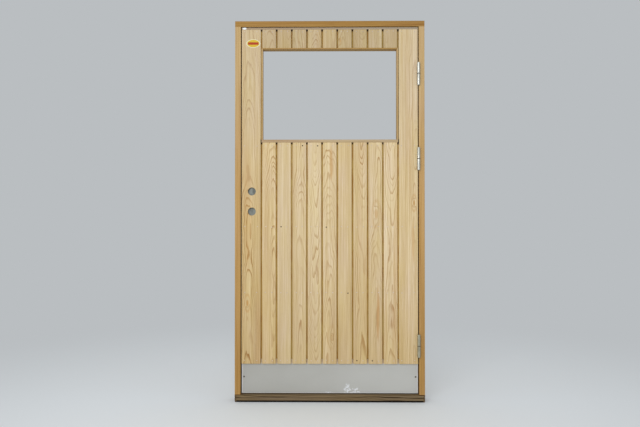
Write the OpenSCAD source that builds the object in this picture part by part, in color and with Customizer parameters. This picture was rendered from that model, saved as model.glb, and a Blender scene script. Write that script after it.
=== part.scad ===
// Boarded shed door in its frame: an outward-opening leaf with an empty window opening,
// hung on three lift-off hinges. Millimetres, +Z up, seen from outside along +Y.
// The origin is the middle of the sill's underside.

/* [Frame] */
// Overall width of the frame
frame_w = 990; // [890:10:1190]
// Overall height of the frame
frame_h = 1990; // [1890:10:2190]
// Depth of the frame from front to back
frame_d = 92; // [80:1:120]
// Thickness of the jambs and the head, seen from outside
frame_face = 30; // [26:1:45]
// Thickness of the stop strips that the leaf closes against
stop_w = 12; // [10:1:20]
// Diameter of the holes for the fixings into the wall
fixing_hole_d = 14; // [8:1:16]
// Height of the lower fixing hole on each jamb
fixing_low_z = 480; // [450:10:520]
// Distance of the upper fixing hole below the frame's top
fixing_drop = 460; // [420:10:500]
// Radius of the eased edges of the planed timber
arris_r = 1.5; // [0.5:0.5:3]

/* [Sill] */
// Height of the sill under the jambs
sill_h = 40; // [34:1:60]
// Rise of the weathered top from the front to the leaf's back
sill_fall = 2; // [1:0.5:3]
// Height of the sill's stop above the top of the sill
sill_stop_h = 20; // [14:1:30]
// Height of the rebate under the front edge
sill_under_h = 9; // [5:1:12]
// Depth of the rebate under the front edge
sill_under_d = 6; // [4:1:10]
// Height of the drip kerf in the front face
sill_kerf = 4; // [2:0.5:6]
// Height of the drip kerf's middle above the floor
sill_kerf_z = 25; // [22:1:28]
// Chamfer along the upper front edge
sill_chamfer = 3; // [1:0.5:5]

/* [Leaf] */
// Gap between the leaf and each jamb
leaf_side_gap = 5; // [3:0.25:6]
// Gap between the leaf and the head
leaf_top_gap = 4; // [3:0.5:6]
// Gap between the leaf and the front of the sill
leaf_bottom_gap = 5; // [4:0.5:10]
// How far the boards lie behind the frame's front
leaf_recess = 2; // [1:0.5:4]
// Thickness of the leaf's stiles and rails
core_t = 34; // [28:1:42]
// Room between the leaf's back and the stop
seal_room = 3; // [3:0.5:5]
// Height of the bottom rail
bottom_rail_h = 200; // [195:5:240]
// Height of the rail under the window
window_rail_h = 95; // [70:5:120]
// Height of the two middle rails
mid_rail_h = 70; // [50:5:90]

/* [Boards] */
// Thickness of the boards
board_t = 15; // [13:1:20]
// Distance from one groove to the next
board_pitch = 79.25; // [74:0.25:82]
// Least width of an edge board, beside as many whole boards as fit
edge_board_min_w = 90; // [85:1:100]
// Width of the open groove between two boards
groove_w = 8; // [5:0.5:10]
// How far the tongue lies behind the board's face
tongue_setback = 6; // [4:0.5:7]
// Thickness of the tongue
tongue_t = 5; // [4:0.5:6]
// How far the tongue reaches into the next board
tongue_in = 6; // [4:0.5:8]
// Room around the tongue in the next board
tongue_play = 0.3; // [0.2:0.1:0.6]
// Chamfer along the face edges of the boards
board_chamfer = 1.5; // [0.5:0.5:3]
// Room between the back lip of a board and the board beside it
lip_gap = 1; // [0.5:0.5:2]

/* [Window] */
// Height of the clear window opening
window_h = 474; // [400:1:520]
// Distance of the opening's upper edge below the frame's top
window_drop = 147; // [130:1:180]
// Thickness of the head and side linings
lining_t = 6; // [5:0.5:12]
// Thickness of the window's sill lining
lining_sill_t = 15; // [10:1:20]
// How far the head and side linings lie behind the boards' face
lining_recess = 1; // [0.5:0.5:6]
// How far the sill lining stands proud of the boards' face
lining_sill_proud = 2; // [0:0.5:3]

/* [Metal] */
// Thickness of the sheet metal
sheet_metal_t = 1; // [0.6:0.1:1.5]
// Height of the kick plate that shows below the boards
kick_reveal = 155; // [120:1:170]
// How far the kick plate goes up behind the boards
kick_lap = 25; // [15:1:40]
// How far the kick plate is folded back under the leaf
metal_fold = 20; // [12:1:24]
// How far the top cap is folded down over the boards
cap_fold = 10; // [6:1:16]
// Distance of the kick plate's screws from the leaf's sides
kick_screw_in = 12; // [10:1:25]
// Height of the kick plate's screws above the leaf's underside
kick_screw_up = 85; // [60:1:100]
// Diameter of the kick plate's screw heads
kick_screw_head_d = 9; // [7:0.5:11]

/* [Lock] */
// Diameter of the two holes over the lock case
lock_hole_d = 42; // [30:1:46]
// Distance between the two lock holes
lock_hole_spacing = 105; // [90:1:112]
// Height of the lower lock hole
lock_hole_z = 993; // [985:1:1010]
// Distance of the lock holes from the leaf's edge
lock_backset = 53; // [45:1:56]
// Thickness of the lock case
lock_case_t = 16; // [12:1:18]
// How far the lock case reaches into the leaf from its edge
lock_case_in = 83; // [80:1:90]
// How far the lock case reaches past the middle of each lock hole
lock_case_over = 33; // [28:1:40]
// Thickness of the lock's forend on the leaf's edge
forend_t = 3; // [2:0.5:4]
// Width of the forend
forend_w = 20; // [18:1:24]
// How far the forend reaches past each end of the case
forend_over = 32; // [24:1:40]

/* [Hinges] */
// Height of one hinge
hinge_h = 120; // [100:2:140]
// Diameter of the knuckles
knuckle_d = 16; // [14:0.5:18]
// Room between the knuckle and the frame's front
knuckle_stand_off = 1; // [0.6:0.1:2]
// Diameter of the hinge pin
pin_d = 8; // [6:0.5:9]
// Radial running clearance of the pin in the leaf's half
pin_clearance = 0.05; // [0.02:0.01:0.1]
// Gap between the two halves of a hinge
hinge_split = 0.5; // [0.3:0.1:1]
// Thickness of the hinge plates
hinge_plate_t = 2.5; // [2:0.25:3]
// Depth of the hinge plates behind the frame's front
hinge_plate_d = 38; // [34:1:44]
// Distance of the top hinge's middle below the frame's top
hinge_top_drop = 279; // [250:1:310]
// Distance of the middle hinge's middle below the frame's top
hinge_mid_drop = 722; // [690:1:790]
// Height of the bottom hinge's middle
hinge_low_z = 295; // [280:1:330]

/* [Screws] */
// Shank diameter of the wood screws
screw_d = 4.5; // [3.5:0.5:5]
// Length of the hinge screws
screw_len = 24; // [18:1:27]
// Length of the screws that hold the frame's corners
corner_screw_len = 90; // [70:5:110]

/* [Hidden] */
// Each round face is a true curve; the count only sets how finely it is drawn.
$fn = 48;
// Overshoot of the cutting tools
cut = 1;

// Depth layers, front to back
front_y = -frame_d / 2;
back_y = frame_d / 2;
board_front_y = front_y + leaf_recess;
core_front_y = board_front_y + board_t;
leaf_back_y = core_front_y + core_t;
stop_y = leaf_back_y + seal_room;

// Half widths, outside to inside
frame_x = frame_w / 2;
rebate_x = frame_x - frame_face;
stop_x = rebate_x - stop_w;
leaf_x = rebate_x - leaf_side_gap;
BOARDS = floor(2 * (leaf_x - edge_board_min_w) / board_pitch);
edge_groove_x = BOARDS * board_pitch / 2;
stile_in_x = edge_groove_x;
window_x = stile_in_x - lining_t;

// Heights, bottom to top
leaf_z = sill_h + leaf_bottom_gap;
board_low_z = leaf_z + kick_reveal;
kick_top_z = board_low_z + kick_lap;
window_top_z = frame_h - window_drop;
window_z = window_top_z - window_h;
lining_low_z = window_z - lining_sill_t;
lining_top_z = window_top_z + lining_t;
rebate_z = frame_h - frame_face;
stop_z = rebate_z - stop_w;
leaf_top_z = rebate_z - leaf_top_gap;
sill_top_z = sill_h + sill_stop_h;
core_low_z = leaf_z + sheet_metal_t;
core_top_z = leaf_top_z - sheet_metal_t;
board_top_z = core_top_z;

// The two middle rails part the height between the bottom rail and the window's rail evenly
bottom_rail_top_z = core_low_z + bottom_rail_h;
window_rail_low_z = lining_low_z - window_rail_h;
mid_rail_step = (window_rail_low_z - bottom_rail_top_z) / 3;

// Hinge line in the middle of the gap, in front of the frame
hinge_x = (rebate_x + leaf_x) / 2;
hinge_y = front_y - knuckle_stand_off - knuckle_d / 2;
lock_x = -leaf_x + lock_backset;
lock_case_z = lock_hole_z - lock_case_over;
lock_case_top_z = lock_hole_z + lock_hole_spacing + lock_case_over;
HINGES = ["top", "middle", "bottom"];
HINGE_Z = [frame_h - hinge_top_drop, frame_h - hinge_mid_drop, hinge_low_z];

// Timber and metal colours
pine = [0.83, 0.74, 0.58];
pine_frame = [0.73, 0.60, 0.40];
oak = [0.44, 0.38, 0.28];
zinc = [0.66, 0.66, 0.64];
steel = [0.80, 0.80, 0.77];
rubber_brown = [0.24, 0.20, 0.16];

// A box between two corners
module block(low, high) {
    translate(low)
        cube(high - low);
}

// A section drawn in depth and height, run across the door
module across(x0, x1) {
    translate([x0, 0, 0])
        rotate([90, 0, 90])
            linear_extrude(x1 - x0)
                children();
}

// A section drawn in width and depth, run up the door
module upright(z0, z1) {
    translate([0, 0, z0])
        linear_extrude(z1 - z0)
            children();
}

// Section of a planed timber between two corners, with its edges eased
module planed(low, high) {
    size = high - low;
    translate(low)
        difference() {
            square(size);
            for (i = [0, 1], j = [0, 1])
                translate([i * size[0], j * size[1]])
                    mirror([i, 0])
                        mirror([0, j])
                            difference() {
                                square(2 * arris_r, center = true);
                                translate([arris_r, arris_r])
                                    circle(r = arris_r);
                            }
        }
}

// A countersunk wood screw along -Z with its head flush at z = 0
module wood_screw(len) {
    head_h = screw_d / 2;
    point_h = screw_d;
    point_d = screw_d / 9;
    translate([0, 0, -head_h])
        cylinder(h = head_h, d1 = screw_d, d2 = 2 * screw_d);
    translate([0, 0, point_h - len])
        cylinder(h = len - point_h - head_h, d = screw_d);
    translate([0, 0, -len])
        cylinder(h = point_h, d1 = point_d, d2 = screw_d);
}

// FRAME

// Places of the screws that hold head and sill to the jambs
corner_x = frame_x - frame_face / 2;
corner_ys = [front_y + sill_under_d + 2 * screw_d, back_y - frame_d / 8];

module corner_screws() {
    for (side = [-1, 1], y = corner_ys) {
        translate([side * corner_x, y, frame_h])
            wood_screw(corner_screw_len);
        translate([side * corner_x, y, 0])
            mirror([0, 0, 1])
                wood_screw(corner_screw_len);
    }
}

module sill() {
    kerf_low = sill_kerf_z - sill_kerf / 2;
    color(oak)
        difference() {
            union() {
                across(-frame_x, frame_x)
                    polygon([
                        [front_y + sill_under_d, 0], [back_y, 0], [back_y, sill_h],
                        [front_y + sill_chamfer, sill_h], [front_y, sill_h - sill_chamfer],
                        [front_y, kerf_low + sill_kerf],
                        [front_y + sill_kerf, kerf_low + sill_kerf],
                        [front_y + sill_kerf, kerf_low], [front_y, kerf_low],
                        [front_y, sill_under_h], [front_y + sill_under_d, sill_under_h]
                    ]);
                across(-rebate_x, rebate_x)
                    polygon([
                        [board_front_y, sill_h], [stop_y, sill_h], [stop_y, sill_h + sill_fall]
                    ]);
                across(-stop_x, stop_x)
                    polygon([
                        [stop_y, sill_h], [back_y, sill_h], [back_y, sill_top_z],
                        [stop_y, sill_top_z]
                    ]);
            }
            corner_screws();
        }
}

// Side -1 is the lock side and 1 the hinge side
module on_side(side) {
    mirror(side > 0 ? [0, 0, 0] : [1, 0, 0])
        children();
}

// Holes for the fixings into the wall, through the stop strip and the jamb
module fixing_holes(side) {
    on_side(side)
        for (z = [fixing_low_z, frame_h - fixing_drop])
            translate([stop_x - cut, (stop_y + back_y) / 2, z])
                rotate([0, 90, 0])
                    cylinder(h = frame_face + stop_w + 2 * cut, d = fixing_hole_d);
}

module jamb_blank(side) {
    difference() {
        on_side(side)
            upright(sill_h, rebate_z)
                planed([rebate_x, front_y], [frame_x, back_y]);
        fixing_holes(side);
        corner_screws();
    }
}

module lock_jamb() {
    color(pine_frame)
        jamb_blank(-1);
}

module hinge_jamb() {
    color(pine_frame)
        difference() {
            jamb_blank(1);
            for (z = HINGE_Z)
                translate([0, 0, z])
                    frame_plate(hinge_fit);
            hinge_screws(1);
        }
}

module frame_head() {
    color(pine_frame)
        difference() {
            across(-frame_x, frame_x)
                planed([front_y, rebate_z], [back_y, frame_h]);
            corner_screws();
        }
}

// Stop strips, each with a kerf for its weatherstrip
module side_stop(side) {
    color(pine_frame)
        difference() {
            on_side(side)
                difference() {
                    upright(sill_h, stop_z)
                        planed([stop_x, stop_y], [rebate_x, back_y]);
                    translate([stop_x + seal_w / 2, stop_y, 0])
                        seal_kerf(sill_top_z, stop_z + cut);
                }
            fixing_holes(side);
        }
}

module lock_stop() {
    side_stop(-1);
}

module hinge_stop() {
    side_stop(1);
}

module head_stop() {
    color(pine_frame)
        difference() {
            across(-rebate_x, rebate_x)
                planed([stop_y, stop_z], [back_y, rebate_z]);
            translate([0, stop_y, stop_z + seal_w / 2])
                rotate([0, 90, 0])
                    seal_kerf(-stop_x, stop_x);
        }
}

module frame_screws() {
    color(steel)
        corner_screws();
}

// WEATHERSTRIPS

// Pad of the strip on the stop, and the root pressed into its kerf
seal_w = 9;
seal_root_t = 3;
seal_root_d = 6;
seal_clearance = 0.3;
seal_t = seal_room - seal_clearance;

module seal_kerf(z0, z1) {
    block([-seal_root_t / 2, -cut, z0], [seal_root_t / 2, seal_root_d, z1]);
}

// A soft pad with a rounded face, drawn across its width, with the root behind it
module seal_section() {
    translate([0, -seal_t])
        difference() {
            square([seal_w, seal_t]);
            for (x = [0, seal_w])
                translate([x, 0])
                    circle(r = seal_t / 2, $fn = 4);
        }
    translate([(seal_w - seal_root_t) / 2, -cut / 2])
        square([seal_root_t, seal_root_d + cut / 2]);
}

module side_seal(side) {
    on_side(side)
        translate([stop_x, stop_y, sill_top_z])
            linear_extrude(stop_z - sill_top_z)
                seal_section();
}

module lock_weatherstrip() {
    color(rubber_brown)
        side_seal(-1);
}

module hinge_weatherstrip() {
    color(rubber_brown)
        side_seal(1);
}

module head_weatherstrip() {
    color(rubber_brown)
        translate([-stop_x, stop_y, stop_z])
            rotate([90, 0, 90])
                linear_extrude(2 * stop_x)
                    mirror([1, -1])
                        seal_section();
}

// HINGES

hinge_fit = 0.2;
knuckle_r = knuckle_d / 2;
plate_top = hinge_h / 2;
// A plate clears the other half's knuckle by standing back from it
plate_clearance = 1;
plate_back_off = knuckle_stand_off + plate_clearance;

// Screws of one plate: heights above its middle and depth behind the frame's front
screw_heights = [-hinge_h * 0.36, 0, hinge_h * 0.36];
screw_depths = [hinge_plate_d * 0.62, hinge_plate_d * 0.8, hinge_plate_d * 0.62];

// Outline of a plate in depth and height; the half at its own knuckle reaches forward to it
module plate_outline(knuckle_side, fit) {
    y_back = front_y + hinge_plate_d + fit;
    translate([front_y + plate_back_off - fit, -plate_top - fit])
        square([y_back - front_y - plate_back_off + fit, hinge_h + 2 * fit]);
    low = knuckle_side > 0 ? hinge_split / 2 : -plate_top;
    translate([hinge_y, low - fit])
        square([y_back - hinge_y, plate_top - hinge_split / 2 + 2 * fit]);
}

module frame_plate(fit) {
    across(rebate_x - (fit > 0 ? cut : 0), rebate_x + hinge_plate_t)
        plate_outline(-1, fit);
}

module leaf_plate(fit) {
    across(leaf_x - hinge_plate_t, leaf_x + (fit > 0 ? cut : 0))
        plate_outline(1, fit);
}

// Screws of all three plates on one side, with their heads flush in the plate
module hinge_screws(side) {
    face_x = side > 0 ? rebate_x : leaf_x;
    for (z = HINGE_Z, i = [0:2])
        translate([face_x, front_y + screw_depths[i], z + screw_heights[i]])
            rotate([0, side > 0 ? -90 : 90, 0])
                wood_screw(screw_len);
}

// Half a knuckle standing on z = 0 with its far end rounded over
module knuckle() {
    height = (hinge_h - hinge_split) / 2;
    round_r = knuckle_r * 0.45;
    rotate_extrude()
        difference() {
            square([knuckle_r, height]);
            translate([knuckle_r - round_r, height - round_r])
                difference() {
                    square(round_r + cut);
                    circle(r = round_r);
                }
        }
}

pin_top = hinge_h / 2 * 0.72;
pin_bottom = -hinge_h / 2 * 0.8;
pin_end_play = 0.3;

module frame_hinge(z) {
    color(steel)
        difference() {
            translate([0, 0, z])
                difference() {
                    union() {
                        frame_plate(0);
                        translate([hinge_x, hinge_y, -hinge_split / 2])
                            mirror([0, 0, 1])
                                knuckle();
                    }
                    translate([hinge_x, hinge_y, pin_bottom])
                        cylinder(h = -pin_bottom + cut, d = pin_d);
                }
            hinge_screws(1);
        }
}

module leaf_hinge(z) {
    color(steel)
        difference() {
            translate([0, 0, z])
                difference() {
                    union() {
                        leaf_plate(0);
                        translate([hinge_x, hinge_y, hinge_split / 2])
                            knuckle();
                    }
                    translate([hinge_x, hinge_y, -cut])
                        cylinder(h = pin_top + pin_end_play + cut, d = pin_d + 2 * pin_clearance);
                }
            hinge_screws(-1);
        }
}

module hinge_pin(z) {
    lead = pin_d / 8;
    color(zinc)
        translate([hinge_x, hinge_y, z + pin_bottom]) {
            cylinder(h = pin_top - pin_bottom - lead, d = pin_d);
            translate([0, 0, pin_top - pin_bottom - lead])
                cylinder(h = lead, d1 = pin_d, d2 = pin_d - 2 * lead);
        }
}

module frame_hinge_screws() {
    color(zinc)
        hinge_screws(1);
}

module leaf_hinge_screws() {
    color(zinc)
        hinge_screws(-1);
}

// LEAF CORE

module lock_holes() {
    for (z = [lock_hole_z, lock_hole_z + lock_hole_spacing])
        translate([lock_x, board_front_y - cut, z])
            rotate([-90, 0, 0])
                cylinder(h = leaf_back_y - board_front_y + 2 * cut, d = lock_hole_d);
}

// The kick plate lies flush in the front of the core
module kick_recess() {
    block(
        [-leaf_x - cut, core_front_y - cut, leaf_z - cut],
        [leaf_x + cut, core_front_y + sheet_metal_t, kick_top_z]);
}

module stile(side) {
    outer = side * leaf_x;
    inner = side * stile_in_x;
    difference() {
        block(
            [min(outer, inner), core_front_y, core_low_z],
            [max(outer, inner), leaf_back_y, core_top_z]);
        kick_recess();
        kick_screws();
    }
}

module lock_stile() {
    color(pine)
        difference() {
            stile(-1);
            lock_holes();
            lock_body();
            forend_screws();
        }
}

module hinge_stile() {
    color(pine)
        difference() {
            stile(1);
            for (z = HINGE_Z)
                translate([0, 0, z])
                    leaf_plate(hinge_fit);
            hinge_screws(-1);
        }
}

module rail(z0, z1) {
    block([-stile_in_x, core_front_y, z0], [stile_in_x, leaf_back_y, z1]);
}

module top_rail() {
    color(pine)
        rail(lining_top_z, core_top_z);
}

module window_rail() {
    color(pine)
        rail(window_rail_low_z, lining_low_z);
}

// A middle rail, counted up from the bottom rail
module mid_rail(step) {
    middle_z = bottom_rail_top_z + step * mid_rail_step;
    color(pine)
        rail(middle_z - mid_rail_h / 2, middle_z + mid_rail_h / 2);
}

module mid_rail_upper() {
    mid_rail(2);
}

module mid_rail_lower() {
    mid_rail(1);
}

module bottom_rail() {
    color(pine)
        difference() {
            rail(core_low_z, bottom_rail_top_z);
            kick_recess();
        }
}

// LOCK

// A closed case let into the stile's face, with its forend flush in the leaf's edge
module lock_body() {
    block(
        [-leaf_x, core_front_y, lock_case_z],
        [-leaf_x + lock_case_in, core_front_y + lock_case_t, lock_case_top_z]);
    block(
        [-leaf_x, core_front_y, lock_case_z - forend_over],
        [-leaf_x + forend_t, core_front_y + forend_w, lock_case_top_z + forend_over]);
}

module forend_screws() {
    for (z = [lock_case_z - forend_over / 2, lock_case_top_z + forend_over / 2])
        translate([-leaf_x, core_front_y + forend_w / 2, z])
            rotate([0, -90, 0])
                wood_screw(screw_len);
}

module lock_case() {
    color(zinc)
        difference() {
            lock_body();
            forend_screws();
        }
}

module lock_case_screws() {
    color(steel)
        forend_screws();
}

// BOARDS

// Section of a board drawn in width and depth from its left face edge: the tongue is
// on the right, on the left is the slot for the next tongue with a longer lip behind it,
// and the face edges are chamfered
module board_section(face_w, has_slot, has_tongue) {
    c = board_chamfer;
    slot_in = tongue_in + tongue_play;
    slot_back = tongue_setback + tongue_t + tongue_play;
    lip_w = has_slot ? groove_w - lip_gap : 0;
    difference() {
        polygon([
            [0, c], [c, 0], [face_w - c, 0], [face_w, c], [face_w, board_t],
            [-lip_w, board_t], [-lip_w, slot_back], [0, slot_back]
        ]);
        if (has_slot)
            translate([-cut, tongue_setback - tongue_play])
                square([slot_in + cut, slot_back - tongue_setback + tongue_play]);
    }
    if (has_tongue)
        translate([face_w - cut, tongue_setback])
            square([groove_w + tongue_in + cut, tongue_t]);
}

module board_run(x, z0, z1, face_w, has_slot, has_tongue) {
    translate([x, board_front_y, z0])
        linear_extrude(z1 - z0)
            board_section(face_w, has_slot, has_tongue);
}

// Tongues and lips stop short of the boards' lower ends, so the kick plate shows in the
// groove that starts at x
module groove_end(x) {
    block(
        [x, board_front_y - cut, board_low_z - cut],
        [x + groove_w, core_front_y + cut, kick_top_z]);
}

// The part of a tongue that lies inside the next board ends at the same height
module tongue_end(x) {
    block(
        [x, board_front_y - cut, board_low_z - cut],
        [x + groove_w + tongue_in + cut, core_front_y + cut, kick_top_z]);
}

function board_x(i) = -edge_groove_x + (i - 1) * board_pitch + groove_w / 2;
board_face_w = board_pitch - groove_w;
edge_face_w = leaf_x - edge_groove_x - groove_w / 2;

module upper_board(i) {
    color(pine)
        board_run(board_x(i), lining_top_z, board_top_z, board_face_w, true, true);
}

module lower_board(i) {
    x = board_x(i);
    color(pine)
        difference() {
            board_run(x, board_low_z, lining_low_z, board_face_w, true, true);
            groove_end(x - groove_w);
            tongue_end(x + board_face_w);
        }
}

// Window cut in the edge boards' tongue and slot, beside the linings
module lining_room() {
    block(
        [-stile_in_x, board_front_y - cut, lining_low_z],
        [stile_in_x, core_front_y + cut, lining_top_z]);
}

module lock_edge_board() {
    color(pine)
        difference() {
            board_run(-leaf_x, board_low_z, board_top_z, edge_face_w, false, true);
            lining_room();
            tongue_end(edge_face_w - leaf_x);
            lock_holes();
        }
}

module hinge_edge_board() {
    color(pine)
        difference() {
            board_run(leaf_x - edge_face_w, board_low_z, board_top_z, edge_face_w, true, false);
            lining_room();
            groove_end(leaf_x - edge_face_w - groove_w);
            for (z = HINGE_Z)
                translate([0, 0, z])
                    leaf_plate(hinge_fit);
        }
}

// WINDOW LININGS

lining_front_y = board_front_y + lining_recess;

// Head and side linings meet in mitres at the upper corners
module mitre_side(side) {
    points = [
        [side * window_x, window_z], [side * stile_in_x, window_z],
        [side * stile_in_x, lining_top_z], [side * window_x, window_top_z]
    ];
    lining_extrude()
        polygon(side > 0 ? points : [points[3], points[2], points[1], points[0]]);
}

// A shape drawn in width and height, run through the depth of the leaf
module lining_extrude() {
    translate([0, leaf_back_y, 0])
        rotate([90, 0, 0])
            linear_extrude(leaf_back_y - lining_front_y)
                children();
}

module window_lining_head() {
    color(pine_frame)
        lining_extrude()
            polygon([
                [-window_x, window_top_z], [window_x, window_top_z],
                [stile_in_x, lining_top_z], [-stile_in_x, lining_top_z]
            ]);
}

module window_lining_lock_side() {
    color(pine_frame)
        mitre_side(-1);
}

module window_lining_hinge_side() {
    color(pine_frame)
        mitre_side(1);
}

module window_sill_lining() {
    color(pine)
        across(-stile_in_x, stile_in_x)
            planed([board_front_y - lining_sill_proud, lining_low_z], [leaf_back_y, window_z]);
}

// SHEET METAL

// The cap lies on the leaf's top edge and folds down over the boards' upper ends
module top_cap() {
    color(zinc)
        difference() {
            block(
                [-leaf_x, board_front_y - sheet_metal_t, leaf_top_z - cap_fold],
                [leaf_x, leaf_back_y, leaf_top_z]);
            block(
                [-leaf_x - cut, board_front_y, leaf_top_z - cap_fold - cut],
                [leaf_x + cut, leaf_back_y + cut, core_top_z]);
        }
}

module kick_screws() {
    neck_h = core_t * 0.6;
    for (side = [-1, 1])
        translate([side * (leaf_x - kick_screw_in), core_front_y, leaf_z + kick_screw_up])
            rotate([90, 0, 0]) {
                translate([0, 0, -neck_h])
                    cylinder(h = neck_h + cut / 2, d = screw_d);
                kick_screw_head();
            }
}

// Low domed head
module kick_screw_head() {
    head_r = kick_screw_head_d / 2;
    dome_r = head_r * 1.3;
    rise = dome_r - sqrt(dome_r * dome_r - head_r * head_r);
    rotate_extrude()
        intersection() {
            translate([0, rise - dome_r])
                circle(r = dome_r);
            square([head_r, rise]);
        }
}

// Flat sheet with its lower edge folded back under the leaf
module kick_plate() {
    color(zinc)
        difference() {
            block(
                [-leaf_x, core_front_y, leaf_z],
                [leaf_x, core_front_y + metal_fold, kick_top_z]);
            block(
                [-leaf_x - cut, core_front_y + sheet_metal_t, core_low_z],
                [leaf_x + cut, core_front_y + metal_fold + cut, kick_top_z + cut]);
            kick_screws();
        }
}

module kick_plate_screws() {
    color(steel)
        kick_screws();
}

sill();
lock_jamb();
hinge_jamb();
frame_head();
lock_stop();
hinge_stop();
head_stop();
head_weatherstrip();
lock_weatherstrip();
hinge_weatherstrip();
frame_screws();
for (i = [0:2]) {
    frame_hinge(HINGE_Z[i]);
    hinge_pin(HINGE_Z[i]);
    leaf_hinge(HINGE_Z[i]);
}
frame_hinge_screws();
leaf_hinge_screws();
lock_stile();
hinge_stile();
top_rail();
window_rail();
mid_rail_upper();
mid_rail_lower();
bottom_rail();
lock_edge_board();
hinge_edge_board();
for (i = [1:BOARDS]) {
    upper_board(i);
    lower_board(i);
}
window_lining_head();
window_lining_lock_side();
window_lining_hinge_side();
window_sill_lining();
top_cap();
kick_plate();
kick_plate_screws();
lock_case();
lock_case_screws();
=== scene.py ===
import math

import bmesh
import bpy
from mathutils import Matrix, Vector


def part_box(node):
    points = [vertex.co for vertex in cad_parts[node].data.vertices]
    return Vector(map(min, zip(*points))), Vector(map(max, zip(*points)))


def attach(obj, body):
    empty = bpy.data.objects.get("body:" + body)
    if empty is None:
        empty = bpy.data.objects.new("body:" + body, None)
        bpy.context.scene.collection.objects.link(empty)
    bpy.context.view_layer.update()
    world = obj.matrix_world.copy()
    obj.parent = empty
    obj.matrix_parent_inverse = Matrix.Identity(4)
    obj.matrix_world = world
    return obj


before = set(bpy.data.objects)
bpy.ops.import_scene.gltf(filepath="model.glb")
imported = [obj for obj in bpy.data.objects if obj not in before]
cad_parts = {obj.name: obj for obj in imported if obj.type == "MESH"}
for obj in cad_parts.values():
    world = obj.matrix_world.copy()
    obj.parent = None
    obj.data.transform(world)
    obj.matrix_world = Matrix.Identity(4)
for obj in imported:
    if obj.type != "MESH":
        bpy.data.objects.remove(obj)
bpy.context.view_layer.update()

# Sill
# A long oak board on the floor under the frame, grey-brown from weather and foot traffic.
# Its front has a kerf along it and a rebate under it, and the jambs stand on its ends.

SILL_EARLY = (125, 107, 81)
SILL_LATE = (68, 52, 34)
SILL_HEART = (94, 76, 55)
# Painted shade in the rebate under the sill's front and under the jambs' feet; the joint colour also
# stains the sawn ends
SILL_REBATE_SHADE = (22, 15, 8)
SILL_END_STAIN_AND_JOINT_SHADE = (72, 46, 20)
# Heights, and distances from the sill's ends, between which its painted shade and its stained ends fade
REBATE_SHADE_HEIGHTS = (0.0088, 0.0115)
REBATE_SHADE_ENDS = (0.003, 0.012)
JOINT_SHADE_HEIGHTS = (0.0345, 0.0375)
JOINT_SHADE_ENDS = (0.028, 0.034)
SAWN_ENDS = (0.002, 0.012)
JOINT_SHADE_SHARE = 0.85
SAWN_END_SHARE = 0.5


def linear(colour):
    """An sRGB colour of 0 to 255 as the shader's linear colour."""
    parts = [c / 255 for c in colour]
    return tuple(c / 12.92 if c <= 0.04045 else ((c + 0.055) / 1.055) ** 2.4 for c in parts) + (1,)


def place(tree, kind, inputs=None, **settings):
    """Adds a node; inputs maps a socket's name or number to a value or to another socket."""
    node = tree.nodes.new(kind)
    for name, value in settings.items():
        setattr(node, name, value)
    for key, value in (inputs or {}).items():
        if isinstance(value, bpy.types.NodeSocket):
            tree.links.new(value, node.inputs[key])
        else:
            node.inputs[key].default_value = value
    return node


def calc(tree, operation, *values):
    """One step of arithmetic on numbers and sockets."""
    return place(tree, "ShaderNodeMath", dict(enumerate(values)), operation=operation).outputs[0]


def squares(tree, first, second):
    """The sum of two numbers' squares."""
    return calc(tree, "ADD", calc(tree, "MULTIPLY", first, first), calc(tree, "MULTIPLY", second, second))


def split(tree, vector):
    """A vector's X, Y and Z."""
    return place(tree, "ShaderNodeSeparateXYZ", {0: vector}).outputs


def off_middle(tree, x, z, middle, reach):
    """How far X and Z lie from a middle, in shares of a reach."""
    return [
        calc(tree, "DIVIDE", calc(tree, "SUBTRACT", value, centre), size)
        for value, centre, size in zip((x, z), middle, reach)
    ]


def soft_step(tree, value, low, high):
    """A mask that rises smoothly from 0 at low to 1 at high."""
    sockets = {"Value": value, "From Min": low, "From Max": high}
    node = place(tree, "ShaderNodeMapRange", sockets, interpolation_type="SMOOTHSTEP")
    return node.outputs[0]


def soft_fall(tree, value, low, high):
    """A mask that falls smoothly from 1 at low to 0 at high."""
    return calc(tree, "SUBTRACT", 1.0, soft_step(tree, value, low, high))


def tint(tree, factor, under, over, blend_type="MIX"):
    """One colour over another."""
    sockets = {0: factor, 6: under, 7: over}
    node = place(tree, "ShaderNodeMix", sockets, data_type="RGBA", blend_type=blend_type)
    return node.outputs[2]


def stretched_noise(tree, vector, across, along, detail=2.0):
    """Noise drawn out along Z, as the fibres of a timber are."""
    scaled = place(
        tree, "ShaderNodeVectorMath", {0: vector, 1: (across, across, along)}, operation="MULTIPLY"
    )
    sockets = {"Vector": scaled.outputs[0], "Scale": 1.0, "Detail": detail}
    return place(tree, "ShaderNodeTexNoise", sockets).outputs[0]


def line_noise(tree, value, scale, detail=1.0):
    """Noise along one number, centred on 0."""
    sockets = {"W": value, "Scale": scale, "Detail": detail}
    node = place(tree, "ShaderNodeTexNoise", sockets, noise_dimensions="1D")
    return calc(tree, "SUBTRACT", node.outputs[0], 0.5)


def waver(tree, noise, share):
    """A factor round 1 that noise lifts and lowers by up to half of share."""
    return calc(tree, "MULTIPLY_ADD", noise, share, 1 - share / 2)


def new_group(name, inputs, outputs):
    """An empty shader group with named sockets, and its input and output sockets."""
    tree = bpy.data.node_groups.new(name, "ShaderNodeTree")
    for in_out, sockets in (("INPUT", inputs), ("OUTPUT", outputs)):
        for socket, kind in sockets.items():
            tree.interface.new_socket(socket, in_out=in_out, socket_type="NodeSocket" + kind)
    return tree, tree.nodes.new("NodeGroupInput").outputs, tree.nodes.new("NodeGroupOutput").inputs


def new_material(name):
    """A plain material, its node tree and its shader's sockets."""
    material = bpy.data.materials.new(name)
    material.use_nodes = True
    tree = material.node_tree
    return material, tree, tree.nodes["Principled BSDF"].inputs


# Noise that moves the pith sideways and in depth along the log: its fineness and detail
PITH_SWAY = (0.9, 1.0)
PITH_RISE = (2.3, 2.0)


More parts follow.
